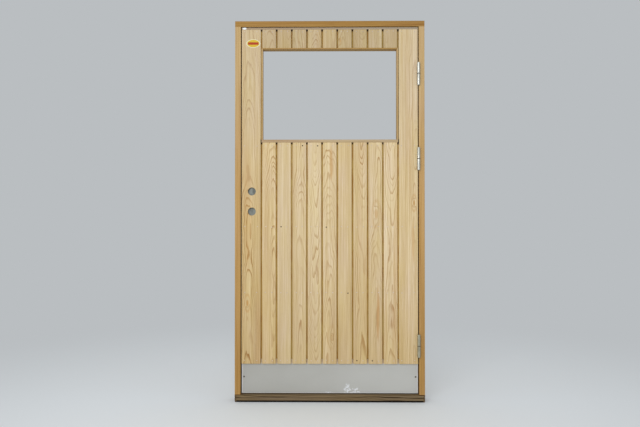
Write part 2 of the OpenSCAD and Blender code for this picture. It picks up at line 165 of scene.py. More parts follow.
def pith_distance(tree, given, vector, own_z):
    """Distance from the pith, which leans and wanders, so that the saw cuts the rings into long arches."""
    x, y, z = split(tree, vector)
    sway = calc(tree, "MULTIPLY", given["Wander"], line_noise(tree, own_z, *PITH_SWAY))
    rise = calc(tree, "MULTIPLY", given["Wander"], line_noise(tree, own_z, *PITH_RISE))
    across = calc(tree, "ADD", calc(tree, "SUBTRACT", x, given["Pith Across"]), sway)
    depth = calc(tree, "MULTIPLY_ADD", z, given["Lean"], calc(tree, "ADD", y, given["Pith Depth"]))
    bow = calc(tree, "MULTIPLY", calc(tree, "MULTIPLY", z, z), given["Bow"])
    depth = calc(tree, "ADD", calc(tree, "SUBTRACT", depth, bow), rise)
    return calc(tree, "SQRT", squares(tree, across, depth))


# Parts of a knot by the square of the distance from its middle, in knot sizes
KNOT_CORE = (0.1, 1.1)
LOOP_RISE = (2.4, 4.0)
LOOP_FALL = (4.6, 7.5)
LOOP_SHARE = 0.5
KNOT_DRAWN_OUT = 0.33
KNOT_LIFT_FADE = 0.6
TINY = 0.00001


def knot_marks(tree, given, x, z):
    """How far a knot lifts the rings round it, and the mask of its core and of the loop about it."""
    size = calc(tree, "MAXIMUM", given["Knot Size"], TINY)
    middle = (given["Knot Across"], given["Knot Height"])
    off_x, off_z = off_middle(tree, x, z, middle, (size, size))
    far = squares(tree, off_x, calc(tree, "MULTIPLY", off_z, KNOT_DRAWN_OUT))
    swell = calc(tree, "DIVIDE", given["Knot Size"], calc(tree, "ADD", far, KNOT_LIFT_FADE))
    core = soft_fall(tree, far, *KNOT_CORE)
    loop = calc(tree, "MULTIPLY", soft_step(tree, far, *LOOP_RISE), soft_fall(tree, far, *LOOP_FALL))
    return swell, calc(tree, "MAXIMUM", core, calc(tree, "MULTIPLY", loop, LOOP_SHARE))


STREAK_BENDS = 5.0
STREAK_SWAY = 0.012
STREAK_FADE = (0.15, 1.0)
FRAYED_FROM = (0.25, 0.6)


def resin_streak(tree, given, x, z, own_z, fibres):
    """A streak of resin that runs with the fibres and frays out at its ends."""
    bent = calc(tree, "MULTIPLY_ADD", line_noise(tree, own_z, STREAK_BENDS), STREAK_SWAY, x)
    middle = (given["Streak Across"], given["Streak Height"])
    reach = [calc(tree, "MAXIMUM", given[name], TINY) for name in ("Streak Width", "Streak Length")]
    off_x, off_z = off_middle(tree, bent, z, middle, reach)
    resin = soft_fall(tree, squares(tree, off_x, off_z), *STREAK_FADE)
    resin = calc(tree, "MULTIPLY", resin, soft_step(tree, fibres, *FRAYED_FROM))
    return calc(tree, "MULTIPLY", resin, given["Streak Tint"])


GROWTH_FINENESS = 60.0
GROWTH_SHARE = 1.2
# The part of a year in which late wood sets in, and that in which it ends
LATE_RISE = (0.55, 0.9)
LATE_FALL = (0.93, 1.0)
YEAR_SPREAD = 91.3
YEAR_SHARE = 0.8
CLEAR_FROM = (0.34, 0.64)
CLEAR_SHARE = 0.6


def year_rings(tree, given, radius, clearness):
    """Bands of late wood, each year of its own width and strength, clear here and faint there."""
    growth = line_noise(tree, calc(tree, "ADD", radius, given["Seed"]), GROWTH_FINENESS)
    years = calc(tree, "DIVIDE", radius, given["Ring Width"])
    years = calc(tree, "MULTIPLY_ADD", growth, GROWTH_SHARE, years)
    season = calc(tree, "FRACT", years)
    late = calc(tree, "MULTIPLY", soft_step(tree, season, *LATE_RISE), soft_fall(tree, season, *LATE_FALL))
    year_seed = calc(tree, "MULTIPLY_ADD", given["Seed"], YEAR_SPREAD, calc(tree, "FLOOR", years))
    year_seed = calc(tree, "FLOOR", year_seed)
    year = place(tree, "ShaderNodeTexWhiteNoise", {"W": year_seed}, noise_dimensions="1D").outputs[0]
    ring = calc(tree, "MULTIPLY", late, calc(tree, "MULTIPLY_ADD", year, YEAR_SHARE, 1 - YEAR_SHARE))
    clear = soft_step(tree, clearness, *CLEAR_FROM)
    return calc(tree, "MULTIPLY", ring, calc(tree, "MULTIPLY_ADD", clear, CLEAR_SHARE, 1 - CLEAR_SHARE))


# How far each noise lightens and darkens the wood
SHADE_SHARES = {"broad": 0.24, "streak": 0.5, "fibre": 0.32}
BLUSH_SHARE = 0.4
FLECKS_FROM = (0.66, 0.78)
FLECK_SHADE = 0.1
DARKER_FOOT_HEIGHTS = (0.0, 1.0)
GREEN_POWER = 1.35
BLUE_POWER = 2.2


def wood_filter(tree, given, noise):
    """Light and dark in the wood. Darker is also yellower: shade counts more on green, most on blue."""
    shade = 1.0
    for name, share in SHADE_SHARES.items():
        shade = calc(tree, "MULTIPLY", shade, waver(tree, noise[name], share))
    fleck = soft_step(tree, noise["fleck"], *FLECKS_FROM)
    shade = calc(tree, "MULTIPLY", shade, calc(tree, "MULTIPLY_ADD", fleck, -FLECK_SHADE, 1.0))
    # Darker towards the foot: partly painted shade where the light falls off downwards, partly the wood's
    # own tone
    damp = calc(tree, "MULTIPLY", soft_fall(tree, given["Height"], *DARKER_FOOT_HEIGHTS), given["Damp"])
    shade = calc(tree, "MULTIPLY", shade, calc(tree, "SUBTRACT", 1.0, damp))
    green = calc(tree, "POWER", shade, GREEN_POWER)
    blue = calc(tree, "POWER", shade, BLUE_POWER)
    blue = calc(tree, "MULTIPLY", blue, waver(tree, noise["blush"], BLUSH_SHARE))
    return place(tree, "ShaderNodeCombineColor", {0: shade, 1: green, 2: blue}).outputs[0]


# Each noise in the wood: how fine it is across the log and along it, and its detail
WOOD_NOISES = {
    "drift": (11.0, 2.4, 2.0), "ripple": (45.0, 7.0, 3.0), "clear": (16.0, 2.1, 1.0),
    "broad": (24.0, 0.9, 2.0), "blush": (17.0, 4.0, 3.0), "streak": (140.0, 1.8, 2.0),
    "fibre": (420.0, 9.0, 3.0), "fleck": (620.0, 55.0, 1.0), "heart": (36.0, 1.0, 2.0),
}
# How far slow drifts and small ripples bend the rings out of regular arches, in metres
RING_BENDS = {"drift": 0.03, "ripple": 0.006}
SEED_RISE = 3.7
HEART_FROM = (0.54, 0.7)
BLEACH_HEIGHTS = (1.0, 1.75)
WOOD_ROUGHNESS = 0.66
LATE_POLISH = 0.12
RING_RELIEF = 0.5


def build_wood_grain():
    """A sawn log along Z: year rings, fibres, heartwood, one knot and one streak of resin."""
    numbers = [
        "Height", "Pith Across", "Pith Depth", "Lean", "Bow", "Wander", "Ring Width", "Contrast",
        "Heartwood", "Damp", "Bleach", "Seed", "Knot Across", "Knot Height", "Knot Size", "Knot Tint",
        "Streak Across", "Streak Height", "Streak Length", "Streak Width", "Streak Tint",
    ]
    inputs = {"Vector": "Vector", "Early": "Color", "Late": "Color", "Heart": "Color", "Bleached": "Color"}
    inputs.update({name: "Float" for name in numbers})
    tree, given, result = new_group(
        "wood_grain", inputs, {"Color": "Color", "Roughness": "Float", "Height": "Float"}
    )
    seed = given["Seed"]
    seed_z = calc(tree, "MULTIPLY", seed, SEED_RISE)
    moved = place(tree, "ShaderNodeCombineXYZ", {0: seed, 1: seed, 2: seed_z}).outputs[0]
    own = place(tree, "ShaderNodeVectorMath", {0: given["Vector"], 1: moved}, operation="ADD").outputs[0]
    own_z = split(tree, own)[2]
    x, _, z = split(tree, given["Vector"])
    noise = {name: stretched_noise(tree, own, *fineness) for name, fineness in WOOD_NOISES.items()}

    swell, knot = knot_marks(tree, given, x, z)
    radius = calc(tree, "ADD", pith_distance(tree, given, given["Vector"], own_z), swell)
    for name, bend in RING_BENDS.items():
        radius = calc(tree, "MULTIPLY_ADD", calc(tree, "SUBTRACT", noise[name], 0.5), bend, radius)
    ring = year_rings(tree, given, radius, noise["clear"])
    heartwood = calc(tree, "MULTIPLY", soft_step(tree, noise["heart"], *HEART_FROM), given["Heartwood"])
    resin = resin_streak(tree, given, x, z, own_z, noise["streak"])
    bleach = calc(tree, "MULTIPLY", soft_step(tree, given["Height"], *BLEACH_HEIGHTS), given["Bleach"])

    colour = tint(tree, calc(tree, "MULTIPLY", ring, given["Contrast"]), given["Early"], given["Late"])
    colour = tint(tree, heartwood, colour, given["Heart"])
    colour = tint(tree, resin, colour, given["Heart"])
    colour = tint(tree, bleach, colour, given["Bleached"])
    colour = tint(tree, calc(tree, "MULTIPLY", knot, given["Knot Tint"]), colour, given["Heart"])
    colour = tint(tree, 1.0, colour, wood_filter(tree, given, noise), "MULTIPLY")
    tree.links.new(colour, result["Color"])
    tree.links.new(calc(tree, "MULTIPLY_ADD", ring, -LATE_POLISH, WOOD_ROUGHNESS), result["Roughness"])
    tree.links.new(calc(tree, "MULTIPLY_ADD", ring, RING_RELIEF, noise["fibre"]), result["Height"])
    return tree


WOOD_GRAIN = build_wood_grain()
BLEACHED_PINE = (194, 170, 128)
GRAIN_DEPTH = 0.0006
UPRIGHT = (0, 0, 0)
LEVEL = (0, -math.pi / 2, 0)


def timber(
    name, node, colours, turn=UPRIGHT, bump=0.25, stain_and_shade=None, gloss=0.3, bleached=BLEACHED_PINE, **grain
):
    """A sawn timber whose grain runs up the piece, or along it where it lies level."""
    material, tree, shader = new_material(name)
    low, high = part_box(node)
    middle = (low + high) / 2
    middle.y = low.y
    offset = -(Matrix.Rotation(turn[1], 3, "Y") @ middle)
    where = place(tree, "ShaderNodeTexCoord").outputs["Object"]
    local = place(tree, "ShaderNodeMapping", {"Vector": where, "Location": offset, "Rotation": turn})
    early, late, heart = (linear(c) for c in colours)
    values = {
        "Vector": local.outputs[0], "Early": early, "Late": late, "Heart": heart,
        "Bleached": linear(bleached), "Height": split(tree, where)[2],
    }
    values.update({key.replace("_", " ").title(): value for key, value in grain.items()})
    wood = place(tree, "ShaderNodeGroup", values, node_tree=WOOD_GRAIN).outputs
    colour = wood["Color"]
    # The stain function may add painted shade as well as stains
    if stain_and_shade:
        colour = stain_and_shade(tree, colour, where)
    tree.links.new(colour, shader["Base Color"])
    tree.links.new(wood["Roughness"], shader["Roughness"])
    shader["Specular IOR Level"].default_value = gloss
    relief = {"Height": wood["Height"], "Strength": bump, "Distance": GRAIN_DEPTH}
    tree.links.new(place(tree, "ShaderNodeBump", relief).outputs[0], shader["Normal"])
    return material


def finish_node(node, material):
    """Gives a CAD piece its material."""
    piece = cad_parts[node]
    if not piece.material_slots:
        piece.data.materials.append(material)
    for slot in piece.material_slots:
        slot.material = material


def shaded_stained_sill(tree, colour, where):
    """Paints shade nearly black in the rebate under the front and dark under the jambs' feet; stains the
    sawn ends.
    """
    x, _, z = split(tree, where)
    from_end = calc(tree, "SUBTRACT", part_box("sill")[1].x, calc(tree, "ABSOLUTE", x))
    end = calc(tree, "MULTIPLY", soft_fall(tree, from_end, *SAWN_ENDS), SAWN_END_SHARE)
    joint = soft_fall(tree, from_end, *JOINT_SHADE_ENDS)
    joint = calc(tree, "MULTIPLY", joint, soft_step(tree, z, *JOINT_SHADE_HEIGHTS))
    joint = calc(tree, "MULTIPLY", joint, JOINT_SHADE_SHARE)
    rebate = soft_fall(tree, z, *REBATE_SHADE_HEIGHTS)
    rebate = calc(tree, "MULTIPLY", rebate, soft_step(tree, from_end, *REBATE_SHADE_ENDS))
    colour = tint(tree, end, colour, linear(SILL_END_STAIN_AND_JOINT_SHADE))
    colour = tint(tree, joint, colour, linear(SILL_END_STAIN_AND_JOINT_SHADE))
    return tint(tree, rebate, colour, linear(SILL_REBATE_SHADE))


sill_oak = timber(
    "sill_oak", "sill", (SILL_EARLY, SILL_LATE, SILL_HEART), LEVEL, bump=0.8, stain_and_shade=shaded_stained_sill,
    gloss=0.06, pith_across=0.055, pith_depth=0.055, lean=0.006, wander=0.014, ring_width=0.0072,
    contrast=1.8, heartwood=0.9, seed=3.1,
)
finish_node("sill", sill_oak)

# Frame
# Two jambs and a head of planed, yellowed pine, screwed together at the corners, with stop
# strips planted on their inner faces for the leaf to close against.

JAMB_COLOURS = ((184, 147, 93), (154, 110, 60), (160, 112, 60))
HEAD_COLOURS = ((162, 124, 68), (130, 91, 43), (138, 95, 44))
FRAME_PIECES = {
    "lock_jamb": UPRIGHT, "hinge_jamb": UPRIGHT, "frame_head": LEVEL,
    "lock_stop": UPRIGHT, "hinge_stop": UPRIGHT, "head_stop": LEVEL,
}
# Jambs and boards grow darker towards the foot, partly as painted shade where the light falls off
# downwards
for number, (node, turn) in enumerate(FRAME_PIECES.items()):
    frame_pine = timber(
        node + "_pine", node, HEAD_COLOURS if node == "frame_head" else JAMB_COLOURS, turn,
        gloss=0.08, pith_across=0.05, pith_depth=0.03 + 0.01 * number, lean=0.006, wander=0.012,
        ring_width=0.0045, contrast=0.85, heartwood=0.7, seed=11.3 + 2.9 * number,
        damp=0.16, bleach=0.0 if turn == LEVEL else 0.55,
    )
    finish_node(node, frame_pine)

# Weatherstrips
# Soft brown rubber pads with a matt face, which the closed leaf almost touches.
# They are pressed by their roots into kerfs in the stop strips.

STRIP_DARK = (50, 37, 22)
STRIP_BROWN = (66, 50, 32)
STRIP_FINENESS = 300.0

rubber, rubber_tree, rubber_shader = new_material("strip_rubber")
rubber_place = place(rubber_tree, "ShaderNodeTexCoord").outputs["Object"]
rubber_noise = stretched_noise(rubber_tree, rubber_place, STRIP_FINENESS, STRIP_FINENESS)
rubber_colour = tint(rubber_tree, rubber_noise, linear(STRIP_DARK), linear(STRIP_BROWN))
rubber_tree.links.new(rubber_colour, rubber_shader["Base Color"])
rubber_shader["Roughness"].default_value = 0.85
rubber_shader["Specular IOR Level"].default_value = 0.15
for node in ("head_weatherstrip", "lock_weatherstrip", "hinge_weatherstrip"):
    finish_node(node, rubber)

# Hinges and screws
# Three lift-off hinges of plated steel: a fixed pin in the frame's half, a leaf half that turns
# on it, and plates let into the timber with countersunk screws. The lowest has gone dull.

HINGE_HEIGHTS = ("top", "middle", "bottom")
KNUCKLE_REACH = 0.0084
# Painted shade in the split between each hinge's two halves: its half width, its darkest core and its
# colour
SPLIT_SHADE_LINE = 0.0026
SPLIT_SHADE_CORE = 0.4 * SPLIT_SHADE_LINE
KNUCKLE_SPLIT_SHADE = (92, 86, 72)
# Bright and dull tone of each plating
BRIGHT_PLATING = ((206, 205, 196), (192, 191, 180))
DULL_PLATING = ((175, 171, 150), (154, 149, 128))
SCREW_PLATING = ((190, 188, 178), (152, 148, 134))
# Fineness of the plating's dull patches and of its handling marks, across and along
PATCHES = (60.0, 25.0)
PATCHES_FROM = (0.4, 0.75)
PATCH_ROUGHNESS = 0.1
MARKS = (900.0, 400.0)
MARK_ROUGHNESS = 0.08


def middle_height(node):
    """Height of a piece's middle."""
    low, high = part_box(node)
    return (low.z + high.z) / 2


def shaded_knuckle_split(tree, colour, where):
    """Painted shade: a dark ring round the middle of a knuckle, where the hinge's two halves meet."""
    low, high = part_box("hinge_pin_top")
    pin = (low + high) / 2
    x, y, z = split(tree, where)
    far = squares(tree, calc(tree, "SUBTRACT", x, pin.x), calc(tree, "SUBTRACT", y, pin.y))
    share = 0.0
    for height in HINGE_HEIGHTS:
        off = calc(tree, "ABSOLUTE", calc(tree, "SUBTRACT", z, middle_height("leaf_hinge_" + height)))
        share = calc(tree, "MAXIMUM", share, soft_fall(tree, off, SPLIT_SHADE_CORE, SPLIT_SHADE_LINE))
    on_knuckle = calc(tree, "LESS_THAN", calc(tree, "SQRT", far), KNUCKLE_REACH)
    return tint(tree, calc(tree, "MULTIPLY", share, on_knuckle), colour, linear(KNUCKLE_SPLIT_SHADE))


def plated_steel(name, colours, roughness, stain_and_shade=None):
    """Satin plated steel, with faint dull patches and fine handling marks."""
    material, tree, shader = new_material(name)
    where = place(tree, "ShaderNodeTexCoord").outputs["Object"]
    patch = soft_step(tree, stretched_noise(tree, where, *PATCHES), *PATCHES_FROM)
    bright, dull = (linear(c) for c in colours)
    colour = tint(tree, patch, bright, dull)
    if stain_and_shade:
        colour = stain_and_shade(tree, colour, where)
    tree.links.new(colour, shader["Base Color"])
    rough = calc(tree, "MULTIPLY_ADD", stretched_noise(tree, where, *MARKS), MARK_ROUGHNESS, roughness)
    rough = calc(tree, "MULTIPLY_ADD", patch, PATCH_ROUGHNESS, rough)
    tree.links.new(rough, shader["Roughness"])
    shader["Metallic"].default_value = 0.75
    return material


bright_steel = plated_steel("hinge_plating", BRIGHT_PLATING, roughness=0.36, stain_and_shade=shaded_knuckle_split)
dull_steel = plated_steel("hinge_plating_dull", DULL_PLATING, roughness=0.42, stain_and_shade=shaded_knuckle_split)
screw_steel = plated_steel("screw_plating", SCREW_PLATING, roughness=0.36)
for height in HINGE_HEIGHTS:
    plating = dull_steel if height == "bottom" else bright_steel
    finish_node("frame_hinge_" + height, plating)
    finish_node("leaf_hinge_" + height, plating)
    finish_node("hinge_pin_" + height, screw_steel)
for node in ("frame_screws", "frame_hinge_screws", "leaf_hinge_screws"):
    finish_node(node, screw_steel)

# Leaf core
# Stiles and rails of rough pine that make up the leaf's open back.
# The boards are nailed to them from the front.

CORE_COLOURS = ((206, 178, 130), (176, 138, 88), (184, 142, 92))
CORE_PIECES = {
    "lock_stile": UPRIGHT, "hinge_stile": UPRIGHT, "top_rail": LEVEL, "window_rail": LEVEL,
    "mid_rail_upper": LEVEL, "mid_rail_lower": LEVEL, "bottom_rail": LEVEL,
}
for number, (node, turn) in enumerate(CORE_PIECES.items()):
    core_pine = timber(
        node + "_pine", node, CORE_COLOURS, turn, bump=0.45,
        pith_across=0.01 * number - 0.03, pith_depth=0.05, lean=0.02, wander=0.03,
        ring_width=0.005, contrast=0.7, heartwood=0.5, seed=31.7 + 4.3 * number,
    )
    finish_node(node, core_pine)

# Lock
# A closed case of dull zinc-plated steel let into the lock stile under the boards, with its
# forend screwed to the stile's edge. Only its face shows, through the two lock holes.

LOCK_PLATING = ((126, 130, 125), (108, 111, 107))

lock_zinc = plated_steel("lock_zinc", LOCK_PLATING, roughness=0.5)
finish_node("lock_case", lock_zinc)
finish_node("lock_case_screws", screw_steel)

# Boards
# Clear pine matchboards with open grooves between them, sawn so that the year rings show as
# arches. Each board is from another log, so its rings and its tone are its own.

BOARD_EARLY = (212, 190, 150)
BOARD_LATE = (166, 127, 80)
BOARD_HEART = (190, 148, 92)
BLEACHED_BOARD = (197, 180, 153)
WARM_GREEN = 0.3
# Painted shade deep in the grooves, blotched with dust, and painted shadow at their upper ends
GROOVE_SHADE_FILTER = (214, 199, 145)
GROOVE_DUSTY_SHADE_FILTER = (200, 172, 118)
GROOVE_TOP_SHADOW = (76, 52, 26)
# Depths behind the boards' face at which the painted shade and the painted shadow set in, and end near the
# backs
SHADE_DEPTHS = (0.0008, 0.0045)
TOP_SHADOW_DEPTHS = (0.0001, 0.0012)
BACK_DEPTHS = (0.0125, 0.0135)
# Where the grooved field ends before the leaf's edges, and how far the painted shadow reaches down its
# grooves
GROOVE_SIDES = (0.43, 0.432)
TOP_SHADOW_REACH = 0.016
TOP_SHADOW_FULL = 0.2 * TOP_SHADOW_REACH
SAWN_END_SLOPES = (0.4, 0.6)
BLOTCHES = (14.0, 11.0, 3.0)
BLOTCHES_FROM = (0.42, 0.64)
BOARD_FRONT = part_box("lock_edge_board")[0].y
CAP_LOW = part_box("top_cap")[0].z
LINING_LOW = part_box("window_sill_lining")[0].z


def build_groove_shade():
    """Painted brown shade on what lies deep between two boards, blotched with dust."""
    inputs = {"Color": "Color", "Depth": "Float", "Across": "Float", "Height": "Float", "Normal": "Vector"}
    tree, given, result = new_group("groove_shade", inputs, {"Color": "Color"})
    depth, across, height = given["Depth"], given["Across"], given["Height"]
    in_front = soft_fall(tree, depth, *BACK_DEPTHS)
    inside = soft_fall(tree, calc(tree, "ABSOLUTE", across), *GROOVE_SIDES)
    slope = calc(tree, "ABSOLUTE", split(tree, given["Normal"])[2])
    share = soft_step(tree, depth, *SHADE_DEPTHS)
    for limit in (in_front, soft_fall(tree, slope, *SAWN_END_SLOPES), inside):
        share = calc(tree, "MULTIPLY", share, limit)

    across_share = calc(tree, "MULTIPLY", across, BLOTCHES[0])
    along_share = calc(tree, "MULTIPLY", height, BLOTCHES[1])
    along = place(tree, "ShaderNodeCombineXYZ", {0: across_share, 2: along_share}).outputs[0]
    blotch = place(tree, "ShaderNodeTexNoise", {"Vector": along, "Scale": 1.0, "Detail": BLOTCHES[2]})
    stained = soft_step(tree, blotch.outputs[0], *BLOTCHES_FROM)
    filter_colour = tint(tree, stained, linear(GROOVE_SHADE_FILTER), linear(GROOVE_DUSTY_SHADE_FILTER))
    colour = tint(tree, share, given["Color"], filter_colour, "MULTIPLY")

    # Painted shadow: the grooves' upper ends, under the cap and under the window's sill lining, are
    # darkest
    under_cap = soft_step(tree, height, CAP_LOW - TOP_SHADOW_REACH, CAP_LOW - TOP_SHADOW_FULL)
    under_lining = soft_step(tree, height, LINING_LOW - TOP_SHADOW_REACH, LINING_LOW - TOP_SHADOW_FULL)
    below_window = calc(tree, "LESS_THAN", height, LINING_LOW + TOP_SHADOW_REACH)
    top_shadow = calc(tree, "MAXIMUM", under_cap, calc(tree, "MULTIPLY", under_lining, below_window))
    for limit in (soft_step(tree, depth, *TOP_SHADOW_DEPTHS), in_front, inside):
        top_shadow = calc(tree, "MULTIPLY", top_shadow, limit)
    tree.links.new(tint(tree, top_shadow, colour, linear(GROOVE_TOP_SHADOW), "MULTIPLY"), result["Color"])
    return tree


GROOVE_SHADE = build_groove_shade()


def shaded_dusty_grooves(tree, colour, where):
    """Painted shade and dust in a board's grooves, by depth behind its face."""
    x, y, z = split(tree, where)
    facing = place(tree, "ShaderNodeTexCoord").outputs["Normal"]
    depth = calc(tree, "SUBTRACT", y, BOARD_FRONT)
    values = {"Color": colour, "Depth": depth, "Across": x, "Height": z, "Normal": facing}
    return place(tree, "ShaderNodeGroup", values, node_tree=GROOVE_SHADE).outputs[0]


def board_timber(node, lift, warm, **grain):
    """A board's own pine; lift makes it lighter, warm takes blue and some green from it."""
    shifts = (lift, lift - WARM_GREEN * warm, lift - warm)
    early = [tone + shift for tone, shift in zip(BOARD_EARLY, shifts)]
    late = [tone + shift for tone, shift in zip(BOARD_LATE, shifts)]
    board_pine = timber(
        node + "_pine", node, (early, late, BOARD_HEART), stain_and_shade=shaded_dusty_grooves, gloss=0.12,
        bleached=BLEACHED_BOARD, damp=0.1, **grain,
    )
    finish_node(node, board_pine)


board_timber(
    "lock_edge_board", lift=-9, warm=9,
    pith_across=-0.024, pith_depth=0.075, lean=0.035, wander=0.012,
    ring_width=0.004, contrast=1.35, heartwood=0.2, bleach=0.45, seed=41.2,
    knot_across=-0.026, knot_height=-0.562, knot_size=0.0068, knot_tint=1.0,
    streak_across=-0.026, streak_height=-0.05, streak_length=0.42, streak_width=0.026, streak_tint=0.4,
)
board_timber(
    "hinge_edge_board", lift=2, warm=3,
    pith_across=0.036, pith_depth=0.04, lean=0.015, wander=0.012,
    ring_width=0.0045, contrast=0.95, heartwood=0.2, bleach=0.4, seed=23.9,
    knot_across=0.033, knot_height=-0.04, knot_size=0.0065, knot_tint=0.8,
    streak_across=0.028, streak_height=-0.246, streak_length=0.14, streak_width=0.010, streak_tint=0.5,
)

# Each lower board from the lock side on: its tone's lift and warmth, then how its log lay under the saw
LOWER_GRAIN = ("pith_across", "pith_depth", "lean", "bow", "ring_width", "contrast", "heartwood")
LOWER_BOARDS = (
    (-1, 7, 0.018, 0.035, 0.030, -0.060, 0.0036, 1.00, 0.20),
    (-3, -2, 0.075, 0.030, 0.015, 0.0, 0.0038, 0.75, 0.0),
    (-2, 1, 0.006, 0.050, 0.030, 0.0, 0.0040, 0.75, 0.10),
    (1, -3, 0.000, 0.055, -0.045, 0.0, 0.0034, 0.85, 0.0),
    (0, 2, -0.008, 0.070, 0.040, 0.0, 0.0036, 1.00, 0.20),
    (-3, 3, -0.080, 0.040, 0.010, 0.0, 0.0038, 0.70, 0.10),
    (-1, 4, 0.010, 0.060, -0.030, 0.060, 0.0040, 1.25, 0.15),
    (-1, 0, 0.004, 0.045, 0.035, 0.0, 0.0038, 1.20, 0.10),
    (7, -2, 0.002, 0.050, -0.015, 0.068, 0.0045, 1.70, 0.30),
)
# Knots and resin streaks that some of the lower boards have, by their number
LOWER_MARKS = {
    5: {
        "streak_across": 0.004, "streak_height": 0.47, "streak_length": 0.11, "streak_width": 0.011,
        "streak_tint": 0.8,
        "knot_across": 0.006, "knot_height": -0.44, "knot_size": 0.009, "knot_tint": 0.3,
    },
    8: {
        "streak_across": 0.010, "streak_height": -0.32, "streak_length": 0.17, "streak_width": 0.010,
        "streak_tint": 0.8,
        "knot_across": 0.002, "knot_height": 0.203, "knot_size": 0.0105, "knot_tint": 0.5,
    },
}
for number, (lift, warm, *grain) in enumerate(LOWER_BOARDS, 1):
    board_timber(
        f"lower_board_{number}", lift, warm, wander=0.012, seed=7.7 * number,
        **dict(zip(LOWER_GRAIN, grain)), **LOWER_MARKS.get(number, {}),
    )

# Each upper board from the lock side on: its tone's lift and warmth, and the lean of its log.
# Their low lifts are partly painted shade over the top of the leaf.
UPPER_BOARDS = (
    (-21, -3, 0.08), (-23, 0, -0.05), (-25, -5, 0.03), (-20, -2, 0.1), (-22, 1, -0.04),
    (-24, -4, 0.06), (-26, -1, -0.09), (-21, -6, 0.05), (-23, -3, -0.03),
)
UPPER_MARKS = {6: {"knot_across": -0.027, "knot_height": -0.018, "knot_size": 0.0025, "knot_tint": 1.0}}
for number, (lift, warm, lean) in enumerate(UPPER_BOARDS, 1):
    board_timber(
        f"upper_board_{number}", lift, warm,
        pith_across=0.02 * (number % 3 - 1), pith_depth=0.06, lean=lean, wander=0.01,
        ring_width=0.0036, contrast=0.75, heartwood=0.2, seed=90.0 + 6.1 * number,
        **UPPER_MARKS.get(number, {}),
    )

# Nails
# Rows of small galvanised nails, two to a board, that hold the boards to the rails. Their domed
# heads stand just proud of the face, and some have rusted dark.

NAIL_HEAD_R = 0.0027
NAIL_HEAD_RISE = 0.0005
NAIL_SIDE_STEPS = (-0.0175, 0.0155)
EDGE_BOARD_SPREAD = 2
NAIL_JITTER = 0.0022
JITTER_SEED = 5
DULL_SEED = 9
NAIL_END_IN = 0.017
UPPER_END_IN = 1.2 * NAIL_END_IN
LOWER_RAIL_DROP = 0.014
UPPER_RAIL_DROP = 0.008
BOARD_LIP = 0.007
BOARD_FACE = 0.0713
EDGE_BOARD_MIDDLE = 0.4103
RUST_SWELL = 0.25
# Share of the rust colour given to the upper boards' nails as painted shade
UPPER_NAIL_SHADE = 0.2
NAIL_PALE = (213, 197, 182)
NAIL_DULL = (190, 174, 159)
NAIL_RUST_AND_SHADE = (34, 25, 16)
# Board, row from the foot and side of each nail in the lower boards that has rusted
RUSTED_NAILS = {(2, 2, 0), (3, 3, 1), (4, 3, 1), (5, 2, 0), (6, 1, 1), (7, 0, 0), (8, 0, 0)}

board_low, board_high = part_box("lower_board_1")
lower_rows = [
    board_low.z + NAIL_END_IN,
    middle_height("mid_rail_lower") - LOWER_RAIL_DROP,
    middle_height("mid_rail_upper") - UPPER_RAIL_DROP,
    board_high.z - NAIL_END_IN,
]
upper_rows = [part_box("upper_board_1")[1].z - UPPER_END_IN]

nail_points = []
nail_rust_and_shade = []
for number in range(1, len(LOWER_BOARDS) + 1):
    for name, rows, nail_shade in (("lower", lower_rows, 0.0), ("upper", upper_rows, UPPER_NAIL_SHADE)):
        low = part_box(f"{name}_board_{number}")[0]
        # The lip on the left and the tongue on the right lie behind the neighbours
        face_middle = low.x + BOARD_LIP + BOARD_FACE / 2
        for row, z in enumerate(rows):
            for side, step in enumerate(NAIL_SIDE_STEPS):
                nail_points.append((face_middle + step, low.y, z))
                rusted = name == "lower" and (number, row, side) in RUSTED_NAILS
                nail_rust_and_shade.append(1.0 if rusted else nail_shade)
for middle in (-EDGE_BOARD_MIDDLE, EDGE_BOARD_MIDDLE):
    for z in lower_rows + upper_rows:
        for step in NAIL_SIDE_STEPS:
            nail_points.append((middle + EDGE_BOARD_SPREAD * step, BOARD_FRONT, z))
            nail_rust_and_shade.append(0.0)

nail_mesh = bpy.data.meshes.new("nail_points")
nail_mesh.from_pydata(nail_points, [], [])
nail_mesh.attributes.new("rust_and_shade", "FLOAT", "POINT").data.foreach_set("value", nail_rust_and_shade)
nails_source = bpy.data.objects.new("nails_source", nail_mesh)
bpy.context.scene.collection.objects.link(nails_source)

nail_steel, steel_tree, steel_shader = new_material("nail_steel")
rust_and_shade_share = place(steel_tree, "ShaderNodeAttribute", attribute_name="rust_and_shade").outputs["Fac"]
dull_share = place(steel_tree, "ShaderNodeAttribute", attribute_name="dullness").outputs["Fac"]
nail_tone = tint(steel_tree, dull_share, linear(NAIL_PALE), linear(NAIL_DULL))
# Rust, and painted shade on the upper boards' nails, darken the heads
nail_tone = tint(steel_tree, rust_and_shade_share, nail_tone, linear(NAIL_RUST_AND_SHADE))
steel_tree.links.new(nail_tone, steel_shader["Base Color"])
steel_shader["Roughness"].default_value = 0.5
steel_shader["Metallic"].default_value = 0.3

